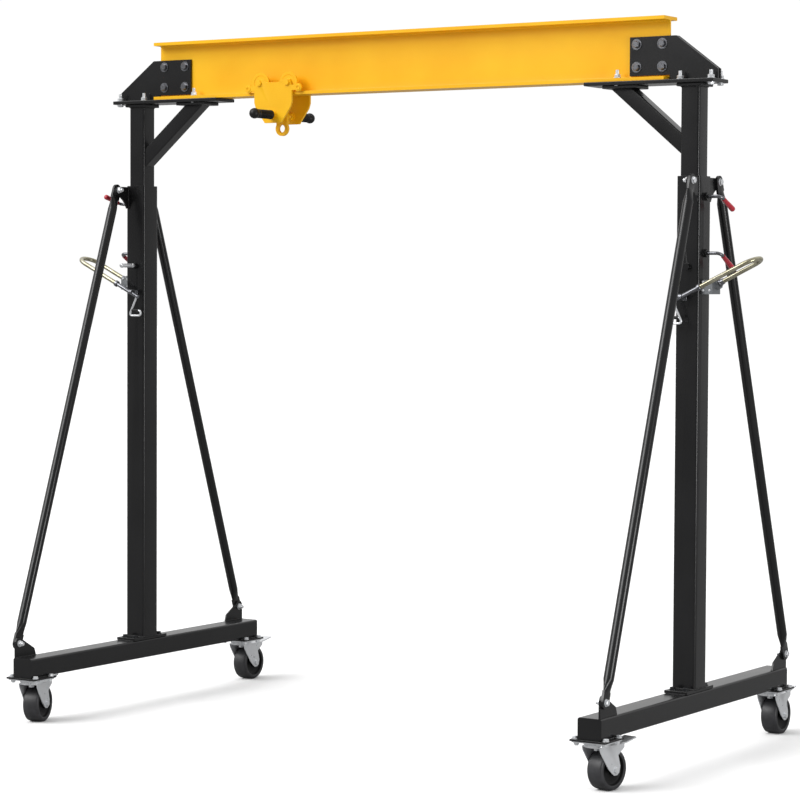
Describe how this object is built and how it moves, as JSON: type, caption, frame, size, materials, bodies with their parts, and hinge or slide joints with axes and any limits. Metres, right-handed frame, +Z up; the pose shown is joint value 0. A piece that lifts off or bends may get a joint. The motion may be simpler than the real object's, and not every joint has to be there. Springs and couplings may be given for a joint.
{
  "type": "gantry crane",
  "caption": "Portable gantry crane: an I-beam with a push trolley on telescoping, braced legs that roll on braked swivel casters.",
  "frame": {"origin": "centre of the footprint on the floor, under the middle of the beam", "axes": "+X along the beam, +Y to the rear where the caster pedals point, +Z up"},
  "size_m": [2.6734, 1.428, 2.338],
  "materials": {
    "leg_paint": "satin dark grey-black paint",
    "beam_paint": "satin yellow paint",
    "bright_zinc": "bright zinc plate",
    "yellow_zinc": "pale yellow zinc plate",
    "gear_casting": "cast, grey",
    "tread": "moulded dark grey",
    "grip_rubber": "moulded black"
  },
  "bodies": {
    "left_leg": {"left_base_tube": "leg_paint", "left_caster_pads": "leg_paint", "left_post_foot": "leg_paint", "left_outer_post": "leg_paint", "left_head_ears": "leg_paint", "left_foot_ears": "leg_paint", "left_front_brace": "leg_paint", "left_rear_brace": "leg_paint", "left_leg_bolts": "bright_zinc", "left_gear_block": "gear_casting", "left_drive_tube": "yellow_zinc", "left_caster_tops": "bright_zinc"},
    "upper_frame": {"main_beam": "beam_paint", "left_gussets": "leg_paint", "left_web_bolts": "bright_zinc", "left_head_plates": "leg_paint", "left_inner_post": "leg_paint", "left_knee_strut": "leg_paint", "right_gussets": "leg_paint", "right_web_bolts": "bright_zinc", "right_head_plates": "leg_paint", "right_inner_post": "leg_paint", "right_knee_strut": "leg_paint"},
    "right_leg": {"right_base_tube": "leg_paint", "right_caster_pads": "leg_paint", "right_post_foot": "leg_paint", "right_outer_post": "leg_paint", "right_head_ears": "leg_paint", "right_foot_ears": "leg_paint", "right_front_brace": "leg_paint", "right_rear_brace": "leg_paint", "right_leg_bolts": "bright_zinc", "right_gear_block": "gear_casting", "right_drive_tube": "yellow_zinc", "right_caster_tops": "bright_zinc"},
    "trolley": {"trolley_front_plate": "beam_paint", "trolley_rear_plate": "beam_paint", "trolley_spindle": "bright_zinc", "trolley_grips": "grip_rubber"},
    "lifting_eye": {"lifting_eye": "beam_paint"},
    "trolley_front_left_wheel": {"trolley_front_left_wheel": "beam_paint"},
    "trolley_front_right_wheel": {"trolley_front_right_wheel": "beam_paint"},
    "trolley_rear_left_wheel": {"trolley_rear_left_wheel": "beam_paint"},
    "trolley_rear_right_wheel": {"trolley_rear_right_wheel": "beam_paint"},
    "left_upper_clamp_screw": {"left_upper_clamp_screw": "bright_zinc"},
    "left_lower_clamp_screw": {"left_lower_clamp_screw": "bright_zinc"},
    "left_crank": {"left_crank": "bright_zinc"},
    "left_front_fork": {"left_front_fork": "bright_zinc"},
    "left_front_wheel": {"left_front_wheel": "tread"},
    "left_rear_fork": {"left_rear_fork": "bright_zinc"},
    "left_rear_wheel": {"left_rear_wheel": "tread"},
    "right_upper_clamp_screw": {"right_upper_clamp_screw": "bright_zinc"},
    "right_lower_clamp_screw": {"right_lower_clamp_screw": "bright_zinc"},
    "right_crank": {"right_crank": "bright_zinc"},
    "right_front_fork": {"right_front_fork": "bright_zinc"},
    "right_front_wheel": {"right_front_wheel": "tread"},
    "right_rear_fork": {"right_rear_fork": "bright_zinc"},
    "right_rear_wheel": {"right_rear_wheel": "tread"}
  },
  "joints": [
    {"name": "beam_lift", "type": "slide", "parent": "left_leg", "child": "upper_frame", "axis": [0, 0, 1], "range_m": [0, 1.2]},
    {"name": "right_leg_lift", "type": "slide", "parent": "upper_frame", "child": "right_leg", "axis": [0, 0, -1], "range_m": [0, 1.2]},
    {"name": "trolley_travel", "type": "slide", "parent": "upper_frame", "child": "trolley", "axis": [1, 0, 0], "range_m": [-0.165, 1.125]},
    {"name": "eye_swing", "type": "hinge", "parent": "trolley", "child": "lifting_eye", "pos_m": [-0.48, -0.051, 2.07], "axis": [0, 1, 0], "range_deg": [-60, 60]},
    {"name": "trolley_front_left_wheel_spin", "type": "hinge", "parent": "trolley", "child": "trolley_front_left_wheel", "pos_m": [-0.538, -0.0907, 2.1793], "axis": [0, 1, 0], "continuous": true},
    {"name": "trolley_front_right_wheel_spin", "type": "hinge", "parent": "trolley", "child": "trolley_front_right_wheel", "pos_m": [-0.422, -0.0907, 2.1793], "axis": [0, 1, 0], "continuous": true},
    {"name": "trolley_rear_left_wheel_spin", "type": "hinge", "parent": "trolley", "child": "trolley_rear_left_wheel", "pos_m": [-0.538, -0.0113, 2.1793], "axis": [0, 1, 0], "continuous": true},
    {"name": "trolley_rear_right_wheel_spin", "type": "hinge", "parent": "trolley", "child": "trolley_rear_right_wheel", "pos_m": [-0.422, -0.0113, 2.1793], "axis": [0, 1, 0], "continuous": true},
    {"name": "left_upper_clamp_screw_turn", "type": "hinge", "parent": "left_leg", "child": "left_upper_clamp_screw", "pos_m": [-1.134, -0.051, 1.774], "axis": [1, 0, 0], "range_deg": [-150, 15]},
    {"name": "left_lower_clamp_screw_turn", "type": "hinge", "parent": "left_leg", "child": "left_lower_clamp_screw", "pos_m": [-1.134, -0.051, 1.598], "axis": [1, 0, 0], "range_deg": [-15, 150]},
    {"name": "left_crank_turn", "type": "hinge", "parent": "left_leg", "child": "left_crank", "pos_m": [-1.06204, -0.123, 1.45055], "axis": [-0.8988, 0, 0.4384], "range_deg": [-10, 190]},
    {"name": "left_front_caster_swivel", "type": "hinge", "parent": "left_leg", "child": "left_front_fork", "pos_m": [-1.089, -0.654, 0.13], "axis": [0, 0, 1], "continuous": true},
    {"name": "left_front_wheel_spin", "type": "hinge", "parent": "left_front_fork", "child": "left_front_wheel", "pos_m": [-1.10142, -0.60764, 0.0625], "axis": [0.9659, 0.2588, 0], "continuous": true},
    {"name": "left_rear_caster_swivel", "type": "hinge", "parent": "left_leg", "child": "left_rear_fork", "pos_m": [-1.089, 0.552, 0.13], "axis": [0, 0, 1], "continuous": true},
    {"name": "left_rear_wheel_spin", "type": "hinge", "parent": "left_rear_fork", "child": "left_rear_wheel", "pos_m": [-1.089, 0.6, 0.0625], "axis": [1, 0, 0], "continuous": true},
    {"name": "right_upper_clamp_screw_turn", "type": "hinge", "parent": "right_leg", "child": "right_upper_clamp_screw", "pos_m": [1.134, -0.051, 1.774], "axis": [1, 0, 0], "range_deg": [-15, 150]},
    {"name": "right_lower_clamp_screw_turn", "type": "hinge", "parent": "right_leg", "child": "right_lower_clamp_screw", "pos_m": [1.134, -0.051, 1.598], "axis": [1, 0, 0], "range_deg": [-15, 150]},
    {"name": "right_crank_turn", "type": "hinge", "parent": "right_leg", "child": "right_crank", "pos_m": [1.06204, -0.123, 1.45055], "axis": [-0.8988, 0, -0.4384], "range_deg": [-10, 190]},
    {"name": "right_front_caster_swivel", "type": "hinge", "parent": "right_leg", "child": "right_front_fork", "pos_m": [1.089, -0.654, 0.13], "axis": [0, 0, 1], "continuous": true},
    {"name": "right_front_wheel_spin", "type": "hinge", "parent": "right_front_fork", "child": "right_front_wheel", "pos_m": [1.09733, -0.60673, 0.0625], "axis": [0.9848, -0.1736, 0], "continuous": true},
    {"name": "right_rear_caster_swivel", "type": "hinge", "parent": "right_leg", "child": "right_rear_fork", "pos_m": [1.089, 0.552, 0.13], "axis": [0, 0, 1], "continuous": true},
    {"name": "right_rear_wheel_spin", "type": "hinge", "parent": "right_rear_fork", "child": "right_rear_wheel", "pos_m": [1.089, 0.6, 0.0625], "axis": [1, 0, 0], "continuous": true}
  ],
  "couplings": [
    {"joint": "right_leg_lift", "follows": "beam_lift", "ratio": 1}
  ]
}
